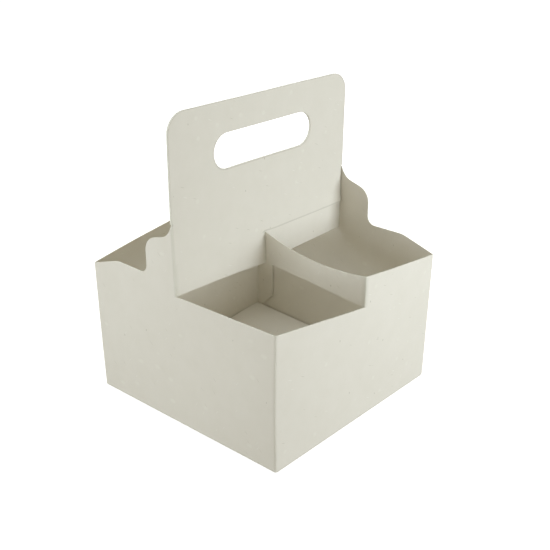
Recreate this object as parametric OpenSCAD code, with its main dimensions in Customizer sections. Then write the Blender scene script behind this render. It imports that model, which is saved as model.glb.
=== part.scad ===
// Cup carrier with a centre handle and four cup places, folded and glued from one sheet of card.
// The origin is the middle of the underside, +X runs along the handle and +Z is up.
// End walls stand at both ends of the handle, side walls stand beside it.
// The blank has two like halves: one is the other turned half round about the upright axis.

/* [Box] */
// Outside width of the box, along the handle
box_w = 185; // [160:1:220]
// Outside depth of the box, across the handle
box_d = 185; // [160:1:220]
// Height of the box at its four corners
corner_h = 109; // [102:0.5:114]

/* [Card] */
// Thickness of the card
card_t = 0.6; // [0.4:0.05:0.8]
// Outside radius of every fold
fold_r = 1.2; // [1:0.1:1.8]
// How far a crease stops short of the curved cut edge above it
crease_stop = 0.8; // [0.4:0.1:2]

/* [Straps] */
// Height of the cut edge under the handle, at the end wall
low_h = 108.6; // [102:0.1:113]
// Height of the cut edge under the handle, where it turns into a strap
mid_h = 106; // [98:0.1:111]
// Height of the cut edge of a side wall, under the fold that turns it into a strap
notch_h = 97.3; // [88:0.1:104]
// Height of a strap's top edge at the handle
strap_h = 131.6; // [124:0.1:138]
// Height of a strap's top edge at the side wall
strap_wall_h = 121.2; // [115:0.1:128]
// Dip of a strap's top edge below the straight line between its ends
strap_dip = 6.4; // [2:0.1:9]

/* [Shoulders] */
// Height of the level ledge of a shoulder
ledge_h = 118.1; // [115:0.1:122]
// Distance from the handle to the outer end of the ledge
ledge_run = 63; // [54:0.1:70]
// Radius that eases the ledge into the slope down to the corner
brow_r = 24; // [10:1:30]
// Distance from the handle to the upright step above the ledge
step_run = 28.9; // [26:0.1:34]
// Radius of the hollow at the foot of the step
foot_r = 7.2; // [3:0.1:9]
// Height of the rounded crest above the step
crest_h = 149.2; // [145:0.1:154]
// Radius of the crest
crest_r = 13.4; // [10:0.1:16]
// Angle at which the edge climbs from the crest towards the handle
rise_angle = 16.5; // [8:0.5:24]
// Radius of the neck that turns the climbing edge up into the handle
neck_r = 15; // [11:0.1:18]

/* [Handle] */
// Height of the handle's top edge
handle_h = 240; // [225:0.5:260]
// Radius of the handle's top corners
handle_r = 14.5; // [5:0.5:20]
// Length of the hand slot
slot_l = 102.4; // [85:0.2:115]
// Height of the hand slot
slot_h = 26.2; // [20:0.1:31]
// Distance from the handle's top edge down to the slot's centre line
slot_drop = 36; // [29:0.1:46]
// How far the handle's upright edges, above the shoulders, lie inside the end walls' faces
cut_inset = 0.3; // [0.1:0.1:2]
// Clearance between a layer's free edge and the fold of the other layer
free_gap = 0.3; // [0.1:0.1:1.5]

/* [Glue flap] */
// Width of the flap that closes the corner seam from inside
flap_w = 19.5; // [14:0.5:26]
// Height where the two slants of the flap's lower end meet
flap_z = 10.8; // [5:0.1:14]
// Width of the outer slant, up to the flap's free edge
flap_cut_w = 12.4; // [4:0.2:12.6]
// Height of the outer slant, up to the flap's free edge
flap_cut_h = 11.4; // [5:0.1:18]
// Fall of the flap's top edge from its fold to its free edge
flap_fall = 4; // [1:0.5:8]

/* [Base] */
// How far a main base flap reaches past the middle on one side, where the two hook together
base_lap = 12; // [6:0.5:20]
// Width of the slit between base flaps
base_seam = 0.8; // [0.4:0.1:1.5]
// Clearance between the ends of the base flaps and the corner folds
base_gap = 0.5; // [0.2:0.1:1.5]
// Space between the free edges of the two end flaps
mid_gap = 8; // [2:1:30]

/* [Hidden] */
$fn = 128;
card_colour = "#DCDBD3";
// Where an end flap's free edge starts and ends, in half depths of the box
end_flap_shares = [-0.64, 0.03];
half_turn = 180;
quarter_turn = 90;

half_w = box_w / 2;
half_d = box_d / 2;
// The card of an upright fold starts to bend here, measured from the handle's middle plane
crease_u = fold_r - card_t;
// The card of a strap's fold starts to bend here, measured from the strap's middle plane
strap_u = fold_r - card_t / 2;
// Underside of the walls: the side walls fold into the outer base flaps, the end walls into the inner ones
side_foot = fold_r;
end_foot = card_t + fold_r;
base_half_w = half_w - fold_r - card_t - base_gap;
base_half_d = half_d - fold_r - card_t - base_gap;

// Circle through both ends of a strap's top edge, measured from the handle's middle plane
strap_chord = norm([half_d, strap_wall_h - strap_h]);
strap_r = (pow(strap_chord / 2, 2) + pow(strap_dip, 2)) / (2 * strap_dip);
strap_middle = [half_d, strap_h + strap_wall_h] / 2;
strap_up = [strap_h - strap_wall_h, half_d] / strap_chord;
strap_centre = strap_middle + strap_up * (strap_r - strap_dip);

// Height of the hand slot's centre line
slot_z = handle_h - slot_drop;

// The edge climbs from the crest in a straight line that touches both the crest and the neck
crest_centre = [step_run - crest_r, crest_h - crest_r];
rise_normal = [sin(rise_angle), cos(rise_angle)];
rise_foot = crest_centre + crest_r * rise_normal;
// The neck ends upright in the handle's middle plane
neck_lift = (neck_r - (neck_r - rise_foot[0]) * rise_normal[0]) / rise_normal[1];
neck_centre = [neck_r, rise_foot[1] + neck_lift];
neck_foot = neck_centre - neck_r * rise_normal;
neck_top = arc_z(crease_u, neck_centre, neck_r);
hinge_top = neck_top - crease_stop;
edge_foot = neck_top + crease_stop;

// The brow touches the level ledge and the slope that runs on to the corner
slope_angle = atan2(ledge_h - corner_h, half_d - fold_r - ledge_run);
brow_reach = brow_r * tan(slope_angle / 2);
brow_centre = [ledge_run - brow_reach, ledge_h - brow_r];
brow_end = brow_centre + brow_r * [sin(slope_angle), cos(slope_angle)];

// Height of the lower half of a circle at a distance u
function arc_z(u, centre, r) = centre[1] - sqrt(pow(r, 2) - pow(u - centre[0], 2));
function strap_top(u) = arc_z(u, strap_centre, strap_r);
// At the seam the side wall folds inside the end wall, so it stops one card short
function seam_inset(seam) = seam ? card_t : 0;

// A quarter bend of the card about the Z axis, on the side of -X and -Y
module fold(length) {
    rotate(half_turn)
        rotate_extrude(angle = quarter_turn)
            translate([fold_r - card_t, 0])
                square([card_t, length]);
}

// A rectangle between two opposite corners
module block(low, high) {
    translate(low)
        square(high - low);
}

// Stands an outline up as card in the plane of an end wall, with its x along +Y
module stand_along_y() {
    rotate([quarter_turn, 0, quarter_turn])
        linear_extrude(card_t)
            children();
}

// Stands an outline up as card in the plane of a side wall, with its x along +X and its back on y = 0
module stand_along_x() {
    rotate([quarter_turn, 0, 0])
        linear_extrude(card_t)
            children();
}

// The shoulder: ledge, upright step, rounded crest and the neck that runs up to the handle
module shoulder_outline() {
    corner_u = half_d - fold_r;
    polygon([
        [crease_u, end_foot],
        [corner_u, end_foot],
        [corner_u, corner_h],
        brow_end,
        brow_centre,
        [brow_centre[0], ledge_h],
        [crease_u, ledge_h]
    ]);
    translate(brow_centre)
        circle(brow_r);
    block([crease_u, end_foot], [step_run, crest_centre[1]]);
    difference() {
        block([crease_u, end_foot], [step_run + foot_r, ledge_h + foot_r]);
        translate([step_run + foot_r, ledge_h + foot_r])
            circle(foot_r);
    }
    translate(crest_centre)
        circle(crest_r);
    polygon([[crease_u, end_foot], crest_centre, rise_foot, neck_foot, [crease_u, neck_foot[1]]]);
    difference() {
        block([crease_u, end_foot], [neck_foot[0], neck_centre[1]]);
        translate(neck_centre)
            circle(neck_r);
    }
}

// The low half of an end wall: its top edge rises from the handle to the corner
module low_end_outline() {
    corner_u = half_d - fold_r;
    polygon([
        [-corner_u, end_foot],
        [crease_u, end_foot],
        [crease_u, low_h],
        [-card_t, low_h],
        [-corner_u, corner_h]
    ]);
}

module end_wall() {
    translate([-half_w, 0, 0])
        stand_along_y() {
            shoulder_outline();
            low_end_outline();
        }
}

// A side wall, low up to the strap's fold and high beyond it
module side_wall(seam) {
    left_u = half_w - fold_r - seam_inset(seam);
    right_u = half_w - fold_r;
    translate([0, card_t - half_d, 0])
        stand_along_x()
            polygon([
                [-left_u, side_foot],
                [right_u, side_foot],
                [right_u, corner_h],
                [strap_u, strap_top(half_d - fold_r)],
                [strap_u, notch_h],
                [-card_t / 2, notch_h],
                [-left_u, corner_h]
            ]);
}

// One of the two layers of the handle, hinged on the end wall at -X
module handle_layer() {
    hinge_x = fold_r - half_w;
    free_x = half_w - fold_r - free_gap;
    edge_x = half_w - cut_inset;
    round_x = edge_x - handle_r;
    round_z = handle_h - handle_r;
    stand_along_x()
        difference() {
            union() {
                polygon([[hinge_x, low_h], [-strap_u, mid_h], [-strap_u, strap_h], [hinge_x, strap_h]]);
                block([hinge_x, strap_h], [free_x, round_z]);
                block([-edge_x, edge_foot], [edge_x, round_z]);
                block([-round_x, edge_foot], [round_x, handle_h]);
                for (x = [-round_x, round_x])
                    translate([x, round_z])
                        circle(handle_r);
            }
            hand_slot_outline();
        }
}

// The hand slot, a long hole with round ends
module hand_slot_outline() {
    end_x = (slot_l - slot_h) / 2;
    block([-end_x, slot_z - slot_h / 2], [end_x, slot_z + slot_h / 2]);
    for (x = [-end_x, end_x])
        translate([x, slot_z])
            circle(d = slot_h);
}

// The strap between the handle's middle and the side wall, with its hollow top edge
module strap() {
    inner_u = fold_r;
    outer_u = half_d - fold_r;
    translate([card_t / 2, 0, 0])
        rotate([quarter_turn, 0, -quarter_turn])
            linear_extrude(card_t)
                difference() {
                    polygon([
                        [inner_u, mid_h],
                        [outer_u, notch_h],
                        [outer_u, strap_h],
                        [inner_u, strap_h]
                    ]);
                    translate(strap_centre)
                        circle(strap_r);
                }
}

// The upright folds of one half: two box corners, the handle's hinge and the two ends of the strap
module upright_folds(seam) {
    translate([seam_inset(seam) + fold_r - half_w, fold_r - half_d, end_foot])
        fold(corner_h - end_foot);
    translate([half_w - fold_r, fold_r - half_d, end_foot])
        rotate(quarter_turn)
            fold(corner_h - end_foot);
    translate([fold_r - half_w, crease_u, low_h])
        fold(hinge_top - low_h);
    translate([strap_u, fold_r - half_d, notch_h])
        fold(strap_top(half_d - fold_r) - crease_stop - notch_h);
    translate([-strap_u, -fold_r, mid_h])
        rotate(half_turn)
            fold(strap_top(fold_r) - crease_stop - mid_h);
}

// The flap that runs on from the side wall and is glued to the inside of the end wall
module glue_flap() {
    root_u = fold_r - half_d;
    edge_u = flap_w - half_d;
    translate([card_t - half_w, 0, 0])
        stand_along_y()
            polygon([
                [root_u, end_foot],
                [edge_u - flap_cut_w, flap_z],
                [edge_u, flap_z + flap_cut_h],
                [edge_u, corner_h - flap_fall],
                [root_u, corner_h]
            ]);
}

// A main base flap with its fold: it hooks past the middle on one side and stops short of it on the other
module main_base_flap() {
    translate([-base_half_w, fold_r - half_d, fold_r])
        rotate([quarter_turn, 0, quarter_turn])
            fold(2 * base_half_w);
    linear_extrude(card_t) {
        block([-base_half_w, fold_r - half_d], [base_half_w, -base_lap - base_seam / 2]);
        block([base_seam / 2, -base_lap - base_seam / 2], [base_half_w, base_lap - base_seam / 2]);
    }
}

// An end base flap with its fold: it lies on the main flaps and is glued to them
module end_base_flap() {
    root_x = fold_r - half_w;
    translate([root_x, base_half_d, card_t + fold_r])
        rotate([quarter_turn, 0, 0])
            fold(2 * base_half_d);
    translate([0, 0, card_t])
        linear_extrude(card_t)
            polygon([
                [root_x, -base_half_d],
                [-mid_gap / 2, half_d * end_flap_shares[0]],
                [-mid_gap / 2, half_d * end_flap_shares[1]],
                [root_x, base_half_d]
            ]);
}

// Half of the folded sheet, with or without the seam at its corner on the side of -X and -Y
module half_sheet(seam) {
    end_wall();
    side_wall(seam);
    handle_layer();
    strap();
    upright_folds(seam);
    main_base_flap();
    end_base_flap();
}

module carrier() {
    color(card_colour) {
        half_sheet(seam = false);
        rotate(half_turn) {
            half_sheet(seam = true);
            glue_flap();
        }
    }
}

carrier();
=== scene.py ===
# %% [markdown]
# # A cup carrier folded from one sheet of card
# The real carrier is a single die-cut blank of recycled board. It is creased, folded up into an open box
# and glued, and two tall panels of it lie back to back as the handle. It could be put together from
# separate plates, but then every fold would be a joint to hide. So this lesson makes one thin surface,
# folded as the blank is folded, gives it the thickness of the card, and last its finish, light and
# camera. The folded sheet is worked out in millimetres and goes into the mesh in metres.

import bpy
import numpy as np
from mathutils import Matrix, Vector


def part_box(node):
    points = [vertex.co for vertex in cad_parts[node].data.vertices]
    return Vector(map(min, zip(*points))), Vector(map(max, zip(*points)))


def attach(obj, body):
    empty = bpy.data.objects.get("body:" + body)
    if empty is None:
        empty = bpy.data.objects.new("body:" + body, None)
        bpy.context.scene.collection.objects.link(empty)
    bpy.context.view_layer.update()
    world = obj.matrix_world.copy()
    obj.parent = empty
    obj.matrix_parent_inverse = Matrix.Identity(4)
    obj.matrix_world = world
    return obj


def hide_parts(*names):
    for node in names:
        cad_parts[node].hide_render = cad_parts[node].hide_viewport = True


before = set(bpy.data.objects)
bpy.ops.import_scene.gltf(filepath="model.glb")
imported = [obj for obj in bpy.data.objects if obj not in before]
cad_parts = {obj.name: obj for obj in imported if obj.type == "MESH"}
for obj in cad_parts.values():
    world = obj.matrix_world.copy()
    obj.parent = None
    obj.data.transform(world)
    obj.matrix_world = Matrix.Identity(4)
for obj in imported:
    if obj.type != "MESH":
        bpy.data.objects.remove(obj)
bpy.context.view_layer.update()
print("nodes in the frame:", sorted(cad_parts))

# %% [markdown]
# ## Sizes of the blank
# The outside of the box and the height of the handle come from the frame. The other sizes are the blank's
# own: heights go up from the underside, and runs go out from the middle of the handle. They could be
# taken from a flat drawing of the blank, but the folded carrier is what is seen, so they are its sizes
# when folded. Each is named in the step that first needs it.

# %% Sizes of the box and the card
MM = 0.001  # metres in a millimetre
_, high_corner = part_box("carrier")
half_w, half_d, handle_h = (round(size / MM, 3) for size in high_corner)
card_t = 0.6
fold_r = 1.2  # outer radius of a fold
layer_gap = 0.04  # half the gap between the two layers of the handle
glue_gap = 0.05  # gap where card lies on card
corner_h = 109.0  # top of the four corners
corner_x = half_w - fold_r
corner_y = half_d - fold_r
print(f"box {2 * half_w} x {2 * half_d}, handle {handle_h} mm")

# %% [markdown]
# ## Stations and rows
# Every panel is a grid: stations run along the panel, rows run up it. A regular step alone would miss the
# creases, so the stations also fall on every place that a neighbour has to meet. Where card is cut, one
# extra row lies close to the edge, so that painted shade along the edge can stay narrow.

# %% Stations along a panel
GRID_STEP = 3.0
FOLD_STEPS = 5


def stations(start, end, *keep):
    """Places from start to end, about one grid step apart, that also fall on every place in keep."""
    stops = np.unique([start, end, *keep])
    counts = np.maximum(1, np.round(np.diff(stops) / GRID_STEP)).astype(int)
    runs = [np.linspace(a, b, n, endpoint=False) for a, b, n in zip(stops[:-1], stops[1:], counts)]
    places = np.append(np.concatenate(runs), stops[-1])
    return places if end > start else places[::-1]


def rows(count, edge_share):
    """Shares of a panel's height from 0 to 1, with one extra row close to each end."""
    return np.concatenate([[0.0], np.linspace(edge_share, 1 - edge_share, count), [1.0]])


def ease(value, low, high):
    """0 below low, 1 above high, and a smooth S between them."""
    share = np.clip((value - low) / (high - low), 0, 1)
    return share * share * (3 - 2 * share)


ring_rows = rows(count=36, edge_share=0.008)
chain_rows = rows(count=9, edge_share=0.03)
crest_rows = rows(count=9, edge_share=0.03)
handle_rows = rows(count=22, edge_share=0.025)
print("rows in ring, chain, crest, handle:", *map(len, (ring_rows, chain_rows, crest_rows, handle_rows)))

# %% [markdown]
# ## The die line
# The top edge of the card is what gives the carrier its look: a slope, a level ledge, an upright step
# with a small hollow at its foot, a round crest and a neck that runs up into the handle. It could be
# drawn as a curve, but each stretch is a straight line or part of a circle, so its height is a formula of
# the distance u from the handle.

# %% Sizes of the shoulders
ledge_h = 118.1
ledge_run = 63.0  # where the slope would meet the level of the ledge
brow_r = 24.0  # rounding between slope and ledge
step_run = 28.9
foot_r = 7.2  # hollow at the foot of the step
crest_h = 149.2
crest_r = 13.4
rise = np.radians(16.5)  # climb between crest and neck
neck_r = 15.0  # hollow that turns up into the handle
print(f"ledge {ledge_h} mm and crest {crest_h} mm high")

# %% Sizes of the straps
low_h = 108.6  # foot of the handle at the end wall
mid_h = 106.0  # foot of the handle at its middle
notch_h = 97.3  # foot of the strap at the side wall
strap_h = 131.6  # top of the strap at the handle
strap_wall_h = 121.2  # top of the strap at the side wall
strap_dip = 6.4  # how far its hollow lies below the line between those tops
join_h = 90.0  # height at the corners of the line where the ring and the chain meet
strap_x = fold_r - card_t / 2
crease_y = fold_r - card_t - layer_gap
layer_y = -card_t - layer_gap
print(f"strap {strap_h} mm high at the handle, {strap_wall_h} mm at the side wall")

# %% Arcs of the shoulder and the strap
slope = np.arctan2(ledge_h - corner_h, corner_y - ledge_run)
brow_u = ledge_run - brow_r * np.tan(slope / 2)
brow_end_u = brow_u + brow_r * np.sin(slope)
foot_u = step_run + foot_r
foot_top = ledge_h + foot_r
crest_u, crest_z = step_run - crest_r, crest_h - crest_r
rise_u, rise_z = crest_u + crest_r * np.sin(rise), crest_z + crest_r * np.cos(rise)
neck_u = neck_r - neck_r * np.sin(rise)
neck_z = rise_z + (neck_r - (neck_r - rise_u) * np.sin(rise)) / np.cos(rise)


def over(u, centre_u, centre_z, radius):
    """Height of the upper half of a circle at the distance u."""
    return centre_z + np.sqrt(np.maximum(radius**2 - (u - centre_u) ** 2, 0))


def under(u, centre_u, centre_z, radius):
    """Height of the lower half of a circle at the distance u."""
    return centre_z - np.sqrt(np.maximum(radius**2 - (u - centre_u) ** 2, 0))


def ledge_top(u):
    """Top edge outside the step: slope, brow, ledge, hollow. Inside it, a line up to the strap's height."""
    outside = [u >= brow_end_u, u >= brow_u, u >= foot_u, u >= step_run]
    heights = [
        corner_h + (corner_y - u) * np.tan(slope),
        over(u, brow_u, ledge_h - brow_r, brow_r),
        np.full_like(u, ledge_h),
        under(u, foot_u, foot_top, foot_r),
    ]
    return np.select(outside, heights, np.interp(u, [crease_y, step_run], [strap_h, foot_top]))


def crest_top(u):
    """Top edge inside the step: a round crest, a straight climb and a neck that turns up into the handle."""
    climb = rise_z + (rise_u - u) * np.tan(rise)
    inner = np.where(u >= neck_u, climb, under(u, neck_r, neck_z, neck_r))
    return np.where(u >= rise_u, over(u, crest_u, crest_z, crest_r), inner)


def strap_top(v):
    """Hollow top edge of a strap: the arc through its two ends that dips below the line between them."""
    chord = np.hypot(half_d, strap_wall_h - strap_h)
    radius = ((chord / 2) ** 2 + strap_dip**2) / (2 * strap_dip)
    up = np.array([strap_h - strap_wall_h, half_d]) / chord
    centre = np.array([half_d, strap_h + strap_wall_h]) / 2 + up * (radius - strap_dip)
    return under(v, centre[0], centre[1], radius)


neck_top = float(crest_top(crease_y))
print(f"slope {np.degrees(slope):.1f} degrees, the neck meets the handle {neck_top:.1f} mm up")

# %% Stations of each wall
ARC_STEPS = 8
BROW_STEPS = 3
base_gap = 0.5  # from a base flap's sides to the walls
base_half_w = corner_x - card_t - base_gap
base_half_d = corner_y - card_t - base_gap
base_seam = 0.1  # between the two main flaps of the base
brow_turn = np.linspace(slope, 0, BROW_STEPS + 1)
foot_turn = np.linspace(0, np.pi / 2, ARC_STEPS + 1)
crest_turn = np.linspace(0, np.pi / 2 - rise, ARC_STEPS + 1)
neck_turn = np.linspace(rise, np.arcsin(1 - crease_y / neck_r), ARC_STEPS + 1)
shoulder_y = np.concatenate([
    stations(corner_y, brow_end_u, base_half_d)[:-1],
    brow_u + brow_r * np.sin(brow_turn)[:-1],
    stations(brow_u, foot_u)[:-1],
    foot_u - foot_r * np.sin(foot_turn)[:-1],
    crest_u + crest_r * np.cos(crest_turn)[:-1],
    stations(rise_u, neck_u)[:-1],
    neck_r - neck_r * np.sin(neck_turn),
])
shoulder_y[-1] = crease_y
low_end_y = stations(crease_y, -corner_y, layer_y, -base_half_d)
low_side_x = stations(-corner_x, strap_x, -base_half_w, -card_t / 2, base_seam / 2)
high_side_x = stations(strap_x, corner_x, base_half_w)
hinge_x = stations(-corner_x, -strap_x)
strap_v = stations(fold_r - layer_gap, corner_y)
print(len(shoulder_y), "stations on a shoulder,", len(low_side_x) + len(high_side_x), "on a side wall")

# %% [markdown]
# ## Panels and folds
# A standing panel is a line on the floor plan carried up from one edge to another. A fold is a quarter
# circle on the plan, carried up in the same way. They could be planes with bevelled edges, but as one
# function they meet exactly. Each grid runs along the sheet so that its outer face looks out, and it
# carries a number for the painted shade of its folds: 1 on a sharp crease, less on a wide corner fold.

# %% A band of card between two heights
SHARP = 1.0
# How much painted shade a fold gets in the finish: 1 on a sharp crease, 0.4 on a wide corner fold
CORNER = 0.4


def along_y(x, y):
    """Floor plan of a panel that runs across the handle."""
    return np.stack([np.full_like(y, x), y], axis=-1)


def along_x(x, y):
    """Floor plan of a panel that runs along the handle."""
    return np.stack([x, np.full_like(x, y)], axis=-1)


def quarter(x, y, radius, start, end):
    """Floor plan of a fold: an arc about the point x, y from one angle to another, in degrees."""
    angle = np.radians(np.linspace(start, end, FOLD_STEPS + 1))
    return np.stack([x + radius * np.cos(angle), y + radius * np.sin(angle)], axis=-1)


def band(plan, low, high, shares, crease=0.0):
    """Card standing on a floor plan: over plan(s) the heights low(s) + share * (high(s) - low(s))."""
    low, high = np.broadcast_to(low, len(plan)), np.broadcast_to(high, len(plan))
    height = low + shares[:, None] * (high - low)
    points = np.concatenate([np.broadcast_to(plan, (*height.shape, 2)), height[..., None]], axis=-1)
    return points, np.full(height.shape, crease)


def ramp(start, end):
    """Heights that go evenly from one value to another over a fold's stations."""
    return np.linspace(start, end, FOLD_STEPS + 1)


print(f"a fold takes up {np.pi / 2 * fold_r:.2f} mm of card in {FOLD_STEPS} steps")

# %% [markdown]
# ## The box
# The four walls come from two like halves: an end wall and a side wall, which the second half repeats
# turned round. They could be one extruded square, but bands keep the true radius of the corner folds.
# Below the straps the walls are one ring. At one corner the sheet's two ends meet, so there the side wall
# folds on inside the end wall as a glue flap, and the free edge of that flap stands off a little.

# %% Sizes of the glue flap and the walls' feet
flap_w = 19.5
flap_z = 10.8  # lower end of the flap, where the slanted cut starts
flap_cut_w = 12.4  # width and height of the slanted cut
flap_cut_h = 11.4
flap_fall = 4.0  # how much lower the flap's top is at the free edge
flap_lift = 0.7  # how far its free edge stands off the wall
side_foot = fold_r
end_foot = card_t + glue_gap + fold_r
print(f"glue flap {flap_w} mm wide, end walls {end_foot - side_foot:.2f} mm shorter than side walls")

# %% The ring of walls
shoulder_join = np.interp(shoulder_y, [crease_y, corner_y], [low_h, join_h])
high_side_join = np.interp(high_side_x, [strap_x, corner_x], [notch_h, join_h])


def glue_flap(seam):
    """The flap inside the seam: a panel with a slanted lower end, whose free edge lifts by a smooth S."""
    edge_y, bend_y = flap_w - half_d, flap_w - flap_cut_w - half_d
    flap_y = stations(edge_y, -corner_y, bend_y)
    flap_low = np.interp(flap_y, [-corner_y, bend_y, edge_y], [end_foot, flap_z, flap_z + flap_cut_h])
    flap_top = np.interp(flap_y, [-corner_y, edge_y], [corner_h, corner_h - flap_fall])
    plan = along_y(seam - half_w, flap_y)
    plan[:, 0] += flap_lift * ease(flap_y, -corner_y, edge_y)
    return band(plan, flap_low, flap_top, ring_rows)


def ring(seam):
    """The walls below the straps: an end wall, a side wall and two corner folds, one inset by the seam."""
    low_end_top = np.interp(low_end_y, [-corner_y, layer_y], [corner_h, low_h])
    low_side_top = np.interp(low_side_x, [-corner_x, -card_t / 2], [corner_h, notch_h])
    side_x = np.maximum(low_side_x, seam - corner_x)
    far_fold = quarter(corner_x, -corner_y, fold_r, 270, 360)
    near_fold = quarter(seam - corner_x, -corner_y, fold_r, 180, 270)
    parts = [
        band(along_y(-half_w, shoulder_y), end_foot, shoulder_join, ring_rows),
        band(along_y(-half_w, low_end_y), end_foot, low_end_top, ring_rows),
        band(along_x(side_x, -half_d), side_foot, low_side_top, ring_rows),
        band(along_x(high_side_x, -half_d), side_foot, high_side_join, ring_rows),
        band(far_fold, ramp(side_foot, end_foot), join_h, ring_rows, CORNER),
        band(near_fold, ramp(end_foot, side_foot), corner_h, ring_rows, CORNER),
    ]
    return parts + [glue_flap(seam)] if seam else parts


print(len(ring(0.0)), "bands in half the ring, and one more for the glue flap")

# %% [markdown]
# ## Straps and shoulders
# From the shoulder the sheet turns at the hinge into the handle, turns again at the middle of the handle
# into the strap, and a third time into the high half of the side wall. These could be cut out of flat
# plates, but the sheet goes through all three folds without a break, so one chain of bands follows it
# between its cut edges.

# %% The chain from shoulder to strap to wall
SAME = 0.001  # points within this many millimetres are one
lip_rise = 1.0  # climb of the cut edge over the hinge, and again beside it
hinge_fold = quarter(-corner_x, crease_y, fold_r, 180, 270)


def chain():
    """The card above the ring: shoulder, hinge, foot of the handle, strap, high half of a side wall."""
    wall_top = strap_top(corner_y)
    high_side_top = np.interp(high_side_x, [strap_x, corner_x], [wall_top, corner_h])
    strap_low = np.interp(strap_v, [strap_v[0], corner_y], [mid_h, notch_h])
    handle_low = np.interp(hinge_x, [-corner_x, -strap_x], [low_h, mid_h])
    inner_r = fold_r - card_t
    valley = quarter(-strap_x, layer_y - inner_r, inner_r, 90, 0)
    return [
        band(along_y(-half_w, shoulder_y), shoulder_join, ledge_top(shoulder_y), chain_rows),
        band(hinge_fold, low_h, strap_h, chain_rows, SHARP),
        band(along_x(hinge_x, layer_y), handle_low, strap_h, chain_rows),
        band(valley, mid_h, ramp(strap_h, strap_top(strap_v[0])), chain_rows, SHARP),
        band(along_y(-card_t / 2, -strap_v), strap_low, strap_top(strap_v), chain_rows),
        band(quarter(strap_x, -corner_y, fold_r, 180, 270), notch_h, wall_top, chain_rows, SHARP),
        band(along_x(high_side_x, -half_d), high_side_join, high_side_top, chain_rows),
        band(quarter(corner_x, -corner_y, fold_r, 270, 360), join_h, corner_h, chain_rows, CORNER),
    ]


def crest():
    """The rounded crest above the step, and the upper end of the hinge."""
    inside = shoulder_y[shoulder_y <= step_run + SAME]
    return [
        band(along_y(-half_w, inside), ledge_top(inside), crest_top(inside), crest_rows),
        band(hinge_fold, strap_h, ramp(neck_top, neck_top + lip_rise), crest_rows, SHARP),
    ]


print(len(chain()), "bands from shoulder to wall,", len(crest()), "at the crest")

# %% [markdown]
# ## The handle panel
# Each layer of the handle is a tall panel with a long round-ended hole. The hole could be cut with a
# boolean, but that leaves ragged faces. Here rings of points run from the panel's outline to the slot:
# each outline point goes straight to the nearest point of the slot's edge, which keeps the quads even and
# both edges exact. Past the strap nothing holds the lower edge of a layer, so there it stands off from
# the other layer.

# %% Sizes of the handle panel and its slot
handle_r = 14.5  # rounding of the top corners
slot_l = 102.4
slot_h = 26.2
slot_drop = 36.0  # from the top of the handle to the middle of the slot
slot_z = handle_h - slot_drop
slot_end_x = (slot_l - slot_h) / 2
cut_inset = 0.3  # from an end wall's face to the cut side of the handle
free_gap = 0.3  # from a layer's free side to the hinge of the other layer
edge_x = half_w - cut_inset
free_x = corner_x - free_gap
layer_lift = 1.2  # how far the free lower edge of a layer stands off
lift_run = 12.0  # run in which that sets in, and height in which it ends
print(f"slot {slot_l} x {slot_h} mm, its middle {slot_z} mm up")

# %% Outline of a layer
LIP_STEPS = 3


def corner_arc(x, start, end):
    """Rounded top corner of the panel, as x and z: part of a circle between two angles in degrees."""
    angle = np.radians(np.linspace(start, end, ARC_STEPS + 1))
    return np.stack([x + handle_r * np.cos(angle), handle_h - handle_r + handle_r * np.sin(angle)], axis=-1)


def handle_outline():
    """Outline of a layer, as x and z: lower edge, free side, top, and down the other side to the hinge."""
    hinge_top = neck_top + lip_rise
    lip = np.linspace(0, 1, LIP_STEPS + 1)
    lip_z = hinge_top + lip_rise * lip**2
    lip_end = hinge_top + lip_rise
    hinge_z = strap_h + crest_rows[::-1] * (hinge_top - strap_h)
    round_x, round_z = edge_x - handle_r, handle_h - handle_r
    return np.concatenate([
        along_x(hinge_x, strap_h)[:-1],
        along_x(stations(-strap_x, free_x), strap_h)[:-1],
        along_y(free_x, stations(strap_h, hinge_top))[:-1],
        np.stack([free_x + lip * (edge_x - free_x), lip_z], axis=-1)[:-1],
        along_y(edge_x, stations(lip_end, round_z))[:-1],
        corner_arc(round_x, 0, 90)[:-1],
        along_x(stations(round_x, -round_x), handle_h)[:-1],
        corner_arc(-round_x, 90, 180)[:-1],
        along_y(-edge_x, stations(round_z, lip_end))[:-1],
        np.stack([-corner_x - lip * (edge_x - corner_x), lip_z], axis=-1)[:0:-1],
        along_y(-corner_x, hinge_z),
    ])


print(len(handle_outline()), "points round a layer")

# %% Rings from the outline to the slot


def handle_panel():
    """One layer: point = outline + share * (slot edge - outline), flat but for its free lower edge."""
    outline = handle_outline()
    middle = along_x(np.clip(outline[:, 0], -slot_end_x, slot_end_x), slot_z)
    reach = outline - middle
    slot_edge = middle + slot_h / 2 * reach / np.linalg.norm(reach, axis=-1, keepdims=True)
    flat = outline + handle_rows[:, None, None] * (slot_edge - outline)
    x, z = flat[..., 0], flat[..., 1]
    lift = layer_lift * ease(x, 0, lift_run) * (1 - ease(z, strap_h, strap_h + lift_run))
    return np.stack([x, layer_y - lift, z], axis=-1), np.zeros(x.shape)


print(handle_panel()[1].size, "points in a layer")

# %% [markdown]
# ## The base
# Each wall ends in a flap. The side walls' flaps meet in the middle, where each hooks past the other, and
# the end walls' flaps lie over them inside. They could be loose plates, but a flap is part of its wall,
# so it is a flat grid that rolls up into the wall over a quarter circle. Creased card springs back: the
# end flaps stand up from their fold, most at the side wall, and come down again towards their free edge.

# %% Sizes of the base flaps
base_lap = 12.0  # how far a hook reaches past the middle
end_flap_x = -4.0  # free edge of an end flap
end_flap_shares = np.array([-0.97, 0.03])  # its two ends, as shares of the half depth
spring_run = 1.0  # an end flap springs up within this run of its fold,
spring_low = 3.4  # by this much from the middle on
spring_high = 8.9  # and by this much at the side wall,
spring_rest = 0.3  # and its free edge keeps this share
print(f"end flaps spring up by {spring_low} to {spring_high} mm")

# %% A flap that rolls up into its wall
FLAP_EDGE_SHARE = 0.012


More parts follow.
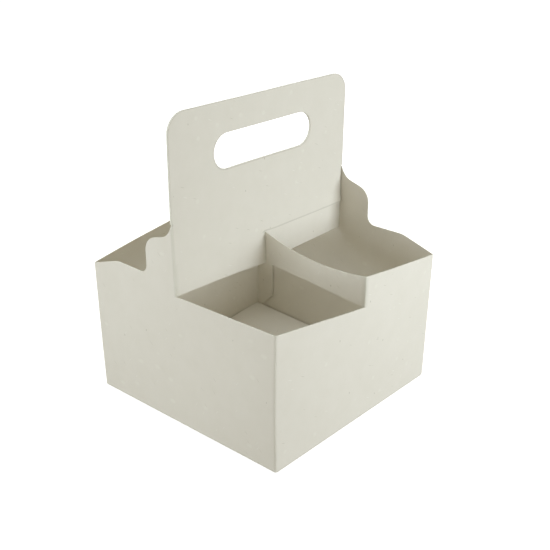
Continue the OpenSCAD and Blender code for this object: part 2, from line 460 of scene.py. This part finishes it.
def roll_up(free_edge, fold_line, wall, low):
    """A flap and its fold: straight from free edge to fold line, then a quarter circle up to the wall."""
    count = int(np.abs(fold_line - free_edge).max() / GRID_STEP)
    shares = rows(count, FLAP_EDGE_SHARE)[:-1, None, None]
    angle = np.linspace(0, np.pi / 2, FOLD_STEPS + 1)[:, None, None]
    out = (wall - fold_line) / fold_r
    flat = free_edge + shares * (fold_line - free_edge)
    bent = fold_line + fold_r * np.sin(angle) * out
    flat_z = np.full(flat.shape[:2], low)
    bent_z = np.broadcast_to(low + fold_r - fold_r * np.cos(angle[..., 0]), bent.shape[:2])
    height = np.concatenate([flat_z, bent_z])
    points = np.concatenate([np.concatenate([flat, bent]), height[..., None]], axis=-1)
    crease = np.zeros(height.shape)
    crease[len(flat):] = SHARP
    return points, crease


def spring(x, y):
    """How far an end flap springs up: its height, growing towards the side wall, times a rise less a fall."""
    highest = spring_low + (spring_high - spring_low) * np.clip(-y / half_d, 0, 1)
    up = ease(x, -corner_x, spring_run - corner_x)
    down = (1 - spring_rest) * ease(x, spring_run - corner_x, end_flap_x)
    return highest * (up - down)


print(f"at the fold, by the side wall, an end flap stands {spring(spring_run - corner_x, -half_d):.1f} mm up")

# %% Flaps of the base


def main_flap():
    """A side wall's flap: short of the middle on half its width, with a hook past it on the other half."""
    side_x = np.concatenate([low_side_x[:-1], high_side_x])
    side_x = side_x[np.abs(side_x) < base_half_w + SAME]
    hook_x = side_x[side_x > base_seam / 2 - SAME]
    short_y, long_y = -base_lap - base_seam / 2, base_lap - base_seam / 2
    flap = roll_up(along_x(side_x, short_y), along_x(side_x, -corner_y), along_x(side_x, -half_d), 0.0)
    hook_y = stations(long_y, short_y)
    hook = np.stack(np.broadcast_arrays(hook_x, hook_y[:, None], 0.0), axis=-1)
    return [flap, (hook, np.zeros(hook.shape[:2]))]


def end_flap():
    """An end wall's flap: its sides slant in to a shorter free edge, and it springs up from its fold."""
    reach = half_d - card_t
    end_y = np.concatenate([[reach], shoulder_y[:-1], low_end_y, [-reach]])
    free_y = np.interp(end_y, [-reach, reach], end_flap_shares * half_d)
    free_edge, fold_line = along_y(end_flap_x, free_y), along_y(-corner_x, end_y)
    flap, crease = roll_up(free_edge, fold_line, along_y(-half_w, end_y), end_foot - fold_r)
    flap[..., 2] += spring(flap[..., 0], flap[..., 1])
    return [(flap, crease)]


print(len(main_flap() + end_flap()), "grids in half the base")

# %% [markdown]
# ## One sheet
# The second half is the first turned half round, with the seam. The grids could stay apart, but then the
# thickness would open a gap at every border. Grids that touch share their border points, so points closer
# than a thousandth of a millimetre become one, and the sheet is whole: only its real cut edges stay open.
# The cut edges of the handle get a number for painted shade: thin dark lines of painted shadow along them.

# %% Join the halves


def half_sheet(seam):
    """All grids of half the folded blank, with the seam's inset or without."""
    return ring(seam) + chain() + crest() + [handle_panel()] + main_flap() + end_flap()


def turned(grids):
    """The same grids after half a turn about the upright axis."""
    return [(points * [-1, -1, 1], crease) for points, crease in grids]


def quads_of(shape, start):
    """Corner numbers of every quad of a grid whose points are counted from start."""
    number = start + np.arange(shape[0] * shape[1]).reshape(shape)
    corners = [number[:-1, :-1], number[:-1, 1:], number[1:, 1:], number[1:, :-1]]
    return np.stack(corners, axis=-1).reshape(-1, 4)


def weld(grids):
    """All grids as one mesh: points, quads and crease values, with points that share a cell made one."""
    sizes = [crease.size for _, crease in grids]
    starts = np.concatenate([[0], np.cumsum(sizes)[:-1]])
    points = np.concatenate([points.reshape(-1, 3) for points, _ in grids])
    crease = np.concatenate([crease.ravel() for _, crease in grids])
    quads = np.concatenate([quads_of(crease.shape, start) for (_, crease), start in zip(grids, starts)])
    off_border = np.pi * SAME  # keeps round sizes away from the borders between cells
    cell = np.round((points + off_border) / SAME).astype(np.int64)
    _, first, same = np.unique(cell, axis=0, return_index=True, return_inverse=True)
    same = same.reshape(-1)
    merged = np.zeros(len(first))
    np.maximum.at(merged, same, crease)
    return points[first], same[quads], merged


points, quads, crease = weld(half_sheet(0.0) + turned(half_sheet(card_t + glue_gap)))
edges = np.sort(np.stack([quads, np.roll(quads, -1, axis=1)], axis=-1).reshape(-1, 2), axis=1)
pairs, uses = np.unique(edges, axis=0, return_counts=True)
print(len(points), "points,", len(quads), "quads,", (uses == 1).sum(), "cut edges, most uses", uses.max())

# %% Cut edges of the handle, which get painted shade
handle_reach = 2 * fold_r
on_handle = (points[:, 2] >= strap_h - SAME) & (np.abs(points[:, 1]) <= handle_reach)
painted_edge_shade = np.zeros(len(points))
painted_edge_shade[pairs[uses == 1]] = 1.0
painted_edge_shade[~on_handle] = 0.0
print(int(painted_edge_shade.sum()), "points on rubbed edges")

# %% [markdown]
# ## The stand of real card
# Card never stands quite flat. The walls of an opened carrier lean out, and the end walls spread a little
# more where the handle holds them. The handle and its straps lean back, the straps part its two layers at
# their foot, the side walls bow where a strap pushes on them, and the sheet has a slow warp from its
# roll. Cloth simulation could do this, but a formula of the place is repeatable, and all panels move
# together, so no seam opens.

# %% Lean, bow and warp
LEAN = 0.0132  # how far the walls lean out, as a share of the height
TILT = 0.002  # how much more at +X and less at -X
SPREAD = 0.0075  # how much more the end walls lean at the handle
SPREAD_TOP = 165.0  # above this the sides of the handle stand upright
BACK = 0.75  # how far the handle leans back
BOW = 2.9  # how far a side wall bows out at its strap
STRAP_PULL = 1.0  # how far a strap pulls its layer off the other,
PULL_RUN = 16.0  # fading within about this run along the handle
WARP = 0.22  # height of the slow wave
WARP_LOW, WARP_HIGH = 2.0, 30.0  # heights between which the warp sets in
# Run along, run up and start, for the slow wave and for the fine one
END_WAVES = ((21.0, 34.0, 0.7), (13.0, -19.0, 2.1))
SIDE_WAVES = ((23.0, -31.0, 1.3), (14.0, 22.0, 0.4))
FINE_SHARE = 0.6


def waves(along, up, runs):
    """A slow wave and a weaker fine one, each the sine of along / its run + up / its run + its start."""
    slow, fine = (np.sin(along / run + up / run_up + start) for run, run_up, start in runs)
    return slow + FINE_SHARE * fine


def stand(p):
    """Points after leaning, bowing and warping: outward shares grow with height and die out at the base."""
    x, y, z = p.T
    across, beside = x / half_w, y / half_d
    inward = np.clip(1 - np.abs(beside), 0, 1)
    lean = LEAN + TILT * across
    spread = SPREAD * inward
    height = np.minimum(z, SPREAD_TOP)
    bow = BOW * np.cos(np.pi / 2 * np.clip(across, -1, 1))
    bow = bow * ease(z, 0, notch_h) * (1 - ease(z, strap_h, crest_h))
    pull = STRAP_PULL * np.exp(-((x / PULL_RUN) ** 2))
    pull = pull * (1 - ease(z, low_h, crest_h)) * ease(z, join_h / 2, low_h)
    back = BACK * ease(z, join_h / 2, strap_h) * np.clip(1 - beside**2, 0, 1)
    grow = ease(z, WARP_LOW, WARP_HIGH)
    warp_x = WARP * grow * waves(y, z, END_WAVES)
    warp_y = WARP * grow * waves(x, z, SIDE_WAVES)
    return np.stack([
        x + (lean + spread) * height * across + warp_x,
        y + lean * z * beside + bow * beside + pull * (np.sign(y) * inward) + back + warp_y,
        z,
    ], axis=-1)


stood = stand(points)
print("moved by up to", np.abs(stood - points).max(axis=0).round(2), "mm")

# %% [markdown]
# ## From surface to card
# The surface is the outer face of the sheet. The inner face could be a second grid, but Solidify finds it
# by itself: it gives the sheet its thickness to the inside and marks the cut edges with a second
# material. Its result is kept as the mesh, so that shading can be smooth over folds and warp but sharp
# along the cuts.

# %% Make the mesh
SHARP_ANGLE = np.radians(35)
scene = bpy.context.scene


def in_scene(name, data):
    """A new object of the scene, at the origin."""
    thing = bpy.data.objects.new(name, data)
    scene.collection.objects.link(thing)
    return thing


def keep_modifiers(piece):
    """Puts what the modifiers make into the mesh itself."""
    view = bpy.context.evaluated_depsgraph_get()
    shown = piece.evaluated_get(view)
    made = bpy.data.meshes.new_from_object(shown, preserve_all_data_layers=True, depsgraph=view)
    piece.modifiers.clear()
    piece.data = made


mesh = bpy.data.meshes.new("folded_card")
mesh.from_pydata(stood * MM, [], quads.tolist())
for name, values in (("crease", crease), ("painted_edge_shade", painted_edge_shade)):
    mesh.attributes.new(name, "FLOAT", "POINT").data.foreach_set("value", values.astype(np.float32))
for name in ("recycled_board_uncoated", "recycled_board_die_cut_edge"):
    mesh.materials.append(bpy.data.materials.new(name))
carrier = in_scene("folded_card", mesh)
thickness = carrier.modifiers.new("card thickness", "SOLIDIFY")
thickness.thickness = card_t * MM
thickness.offset = -1
thickness.use_even_offset = True
thickness.material_offset_rim = 1
keep_modifiers(carrier)
carrier.data.shade_smooth()
carrier.data.set_sharp_from_angle(angle=SHARP_ANGLE)
carrier.data.validate(verbose=True)
print("card mesh:", len(carrier.data.vertices), "points,", len(carrier.data.polygons), "faces")

# %% [markdown]
# ## Helpers for finishes
# Colours are written as they look on a screen and turned to the linear values that the renderer works in.
# One function adds a node: what is named in its inputs is either set or, where it is a socket, linked.
# That keeps a finish readable from top to bottom.

# %% Colour and node helpers


def linear(code):
    """Linear colour of an sRGB hex code: a straight part near black and a power curve above it."""
    value = np.array([int(code[i:i + 2], 16) for i in (1, 3, 5)]) / 255
    value = np.where(value <= 0.04045, value / 12.92, ((value + 0.055) / 1.055) ** 2.4)
    return (*value, 1.0)


def add(tree, kind, inputs, **properties):
    """Adds one node with its properties, and sets or links each of its inputs by name or number."""
    node = tree.nodes.new("ShaderNode" + kind)
    for name, value in properties.items():
        setattr(node, name, value)
    for name, value in inputs.items():
        if isinstance(value, bpy.types.NodeSocket):
            tree.links.new(value, node.inputs[name])
        else:
            node.inputs[name].default_value = value
    return node


def new_tree(owner):
    """The emptied node tree of a material or a world."""
    owner.use_nodes = True
    owner.node_tree.nodes.clear()
    return owner.node_tree


def per_metre(size_mm):
    """Scale of a pattern whose features are that many millimetres wide."""
    return 1 / (size_mm * MM)


print("middle grey in linear values:", np.round(linear("#808080")[:3], 3))

# %% [markdown]
# ## Recycled board
# The board is pressed from waste paper and left uncoated. The eye gets a warm off-white with a faint
# cloudiness from uneven pulp, pale patches, dark and pale fibres, a few dark specks of old print, and no
# gloss. Creases and the cut edges of the handle are painted a little darker: painted shade in the folds and
# thin painted shadow lines along those edges. A photographed texture would show all that at once, but
# noise and cell patterns have no seams and a known size. A fleck is the space around a cell's point: the
# surface misses most of them, so that few show, and one stretched to a disc is cut by the surface into a
# thin line, as a fibre.

# %% Flecks in the board
# Each row: a cell's width and a fleck's radius in millimetres, stretch, turn in degrees and colour.
# Real fibres are a few hundredths of a millimetre wide. Here they are as coarse as they must be to show.
FLECKS = (
    # pale patches of pulp
    (15.0, 2.2, (1.0, 1.6, 1.0), (0, 0, 0), "#DED9CB"),
    # dark fibres
    (2.6, 0.2, (12.0, 12.0, 1.0), (40, 25, 0), "#C9C3B2"),
    # pale fibres
    (2.6, 0.2, (12.0, 12.0, 1.0), (-30, 50, 35), "#E3DFD3"),
    # dark specks of old print
    (9.0, 0.48, (1.0, 1.0, 2.2), (0, 0, 0), "#B4AE9C"),
)


def fleck_mask(tree, place, cell_mm, fleck_mm, stretch, turn):
    """Mask of scattered flecks: 0 from a fleck's radius on and 1 within half of it, stretched and turned."""
    frame_of_cells = {"Location": [cell_mm * MM] * 3, "Rotation": np.radians(turn), "Scale": stretch}
    moved = add(tree, "Mapping", {"Vector": place, **frame_of_cells}, vector_type="TEXTURE").outputs[0]
    cells = add(tree, "TexVoronoi", {"Vector": moved, "Scale": per_metre(cell_mm)}).outputs["Distance"]
    radius = fleck_mm / cell_mm
    return add(tree, "MapRange", {"Value": cells, "From Min": radius, "From Max": radius / 2}).outputs[0]


print(len(FLECKS), "kinds of fleck")

# %% Finish of the board's faces
CELLULOSE_IOR = 1.47
CLOUD_MM = 14.0
GRAIN_MM = 1.1  # the real grain is finer; this is as coarse as it needs to be to show
GRAIN_DEPTH_MM = 0.05
# Shares of painted shade: in the creases, and along the handle's cut edges
CREASE_SHADE_SHARE = 0.6
EDGE_SHADE_SHARE = 0.45


def with_painted_shade(tree, tone, attribute, share, code):
    """A tone mixed towards a darker colour, as painted shade, by a share of one of the mesh's own numbers."""
    mark = add(tree, "Attribute", {}, attribute_name=attribute).outputs["Fac"]
    part = add(tree, "MapRange", {"Value": mark, "To Max": share}).outputs[0]
    return add(tree, "MixRGB", {"Fac": part, 1: tone, 2: linear(code)}).outputs[0]


def board_tone(tree, place):
    """Colour of the board: two cloudy whites, the flecks over them, then painted shade in the creases and
    along the handle's cut edges.
    """
    cloud_look = {"Scale": per_metre(CLOUD_MM), "Detail": 5.0, "Roughness": 0.6}
    cloud = add(tree, "TexNoise", {"Vector": place, **cloud_look}).outputs[0]
    tone = add(tree, "MixRGB", {"Fac": cloud, 1: linear("#D7D1C2"), 2: linear("#DED8CB")}).outputs[0]
    for *fleck, code in FLECKS:
        mask = fleck_mask(tree, place, *fleck)
        tone = add(tree, "MixRGB", {"Fac": mask, 1: tone, 2: linear(code)}).outputs[0]
    # Painted shade in the folds and creases
    tone = with_painted_shade(tree, tone, "crease", CREASE_SHADE_SHARE, "#CFCBBB")
    # Painted shadow: thin dark lines along the handle's cut edges, below the free lower edge of a layer and
    # round its outline
    return with_painted_shade(tree, tone, "painted_edge_shade", EDGE_SHADE_SHARE, "#9F9886")


def board_face(material):
    """Uncoated recycled board: its tone, and a felt-like grain in its relief and its roughness."""
    tree = new_tree(material)
    place = add(tree, "TexCoord", {}).outputs["Object"]
    grain_look = {"Scale": per_metre(GRAIN_MM), "Detail": 4.0, "Roughness": 0.7}
    grain = add(tree, "TexNoise", {"Vector": place, **grain_look}).outputs[0]
    rough = add(tree, "MapRange", {"Value": grain, "To Min": 0.84, "To Max": 0.96}).outputs[0]
    bump = {"Height": grain, "Strength": 0.35, "Distance": GRAIN_DEPTH_MM * MM}
    relief = add(tree, "Bump", bump).outputs[0]
    look = {"Base Color": board_tone(tree, place), "Roughness": rough, "Normal": relief, "IOR": CELLULOSE_IOR}
    shader = add(tree, "BsdfPrincipled", look)
    add(tree, "OutputMaterial", {"Surface": shader.outputs[0]})


board_face(carrier.data.materials[0])
print("face:", carrier.data.materials[0].name)

# %% [markdown]
# ## The cut edge
# The die crushes the board as it cuts, so the edge shows a paler, slightly ragged core. Thin layers of
# pulp run along it, which a noise stretched along the edge would give, but at this width only its
# brightness and raggedness show, so a plain fine noise is enough.

# %% Finish of the cut edges
TORN_MM = 0.8
TORN_DEPTH_MM = 0.1


def board_edge(material):
    """Die-cut edge of the board: pale torn fibre with a coarse relief."""
    tree = new_tree(material)
    place = add(tree, "TexCoord", {}).outputs["Object"]
    torn = add(tree, "TexNoise", {"Vector": place, "Scale": per_metre(TORN_MM), "Detail": 3.0}).outputs[0]
    tone = add(tree, "MixRGB", {"Fac": torn, 1: linear("#D6D2C1"), 2: linear("#EFECDF")}).outputs[0]
    bump = {"Height": torn, "Strength": 0.5, "Distance": TORN_DEPTH_MM * MM}
    relief = add(tree, "Bump", bump).outputs[0]
    look = {"Base Color": tone, "Roughness": 0.95, "Normal": relief, "IOR": CELLULOSE_IOR}
    shader = add(tree, "BsdfPrincipled", look)
    add(tree, "OutputMaterial", {"Surface": shader.outputs[0]})


board_edge(carrier.data.materials[1])
print("edge:", carrier.data.materials[1].name)

# %% [markdown]
# ## In the frame
# The folded card stands for the solid of the same sheet and rides on the one body of the carrier.

# %% Ride on the frame
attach(carrier, "root")
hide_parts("carrier")
print(carrier.name, "stands for the carrier's solid")

# %% [markdown]
# ## Floor, light and camera
# The studio is a white sweep. It glows, as a lit sweep does, so hardly any shadow shows, and it is kept
# out of the diffuse rays: light thrown up from a white floor would wash out the shade on the walls. The
# room is white to the camera and gives only a dim, warm light, so that the inside of the cells stays dim.
# Most light comes from large, slightly cool lamps in front, at the left, at the right, high behind and
# above. One strong lamp could light it too, but its shadows would be hard. The camera looks down at the
# corner. Its lens, place and turn were fitted to the straight edges of the box in the photograph.

# %% The floor
FLOOR_HALF = 6.0  # metres from the middle to the floor's sides
floor_corners = FLOOR_HALF * np.array([(-1, -1, 0), (1, -1, 0), (1, 1, 0), (-1, 1, 0)])
floor_mesh = bpy.data.meshes.new("floor")
floor_mesh.from_pydata(floor_corners, [], [(0, 1, 2, 3)])
floor = in_scene("floor", floor_mesh)
sweep = bpy.data.materials.new("matt_white_sweep")
sweep_tree = new_tree(sweep)
glow = {"Emission Color": linear("#FFFFFF"), "Emission Strength": 0.98}
sweep_shader = add(sweep_tree, "BsdfPrincipled", {"Base Color": linear("#8E8B86"), "Roughness": 0.95, **glow})
add(sweep_tree, "OutputMaterial", {"Surface": sweep_shader.outputs[0]})
floor_mesh.materials.append(sweep)
floor.visible_diffuse = False
print("floor:", sweep.name)

# %% The room
scene.view_settings.view_transform = "Standard"
scene.world = bpy.data.worlds.new("studio")
room = new_tree(scene.world)
dim = add(room, "Background", {"Color": linear("#FFECBD"), "Strength": 0.225})
white = add(room, "Background", {"Color": linear("#FFFFFF"), "Strength": 1.0})
backdrop = add(room, "LightPath", {}).outputs["Is Camera Ray"]
both = add(room, "MixShader", {"Fac": backdrop, 1: dim.outputs[0], 2: white.outputs[0]})
add(room, "OutputWorld", {"Surface": both.outputs[0]})
print("room:", scene.world.name)

# %% The lamps
LAMP_COLOUR = linear("#E8F3FF")[:3]
carrier_middle = Vector((0.0, 0.0, handle_h / 2 * MM))


def soft_lamp(name, place, size, power):
    """A large square lamp that looks at the middle of the carrier and isn't seen itself."""
    lamp = bpy.data.lights.new(name, "AREA")
    lamp.size = size
    lamp.energy = power
    lamp.color = LAMP_COLOUR
    holder = in_scene(name, lamp)
    holder.visible_camera = False
    holder.location = place
    holder.rotation_euler = (carrier_middle - Vector(place)).to_track_quat("-Z", "Y").to_euler()
    print(f"lamp {name}: {power} W, {size} m wide")


soft_lamp("front", place=(0.2, -0.76, 0.25), size=0.5, power=6.25)
soft_lamp("left", place=(-0.6, 0.09, 0.15), size=0.35, power=2.45)
soft_lamp("right", place=(1.0, 0.3, 0.3), size=0.5, power=6.0)
soft_lamp("behind", place=(0.0, 1.5, 1.2), size=1.2, power=25.0)
soft_lamp("top", place=(0.0, 0.3, 0.9), size=0.6, power=3.0)

# %% The camera
camera = in_scene("camera", bpy.data.cameras.new("camera"))
camera.data.lens = 59.77
camera.data.sensor_width = 36.0
camera.location = (-0.4874, -0.4416, 0.3833)
camera.rotation_euler = np.radians([66.30, 0.0, -48.49])
scene.camera = camera
print(f"camera {camera.location.length:.3f} m from the origin")
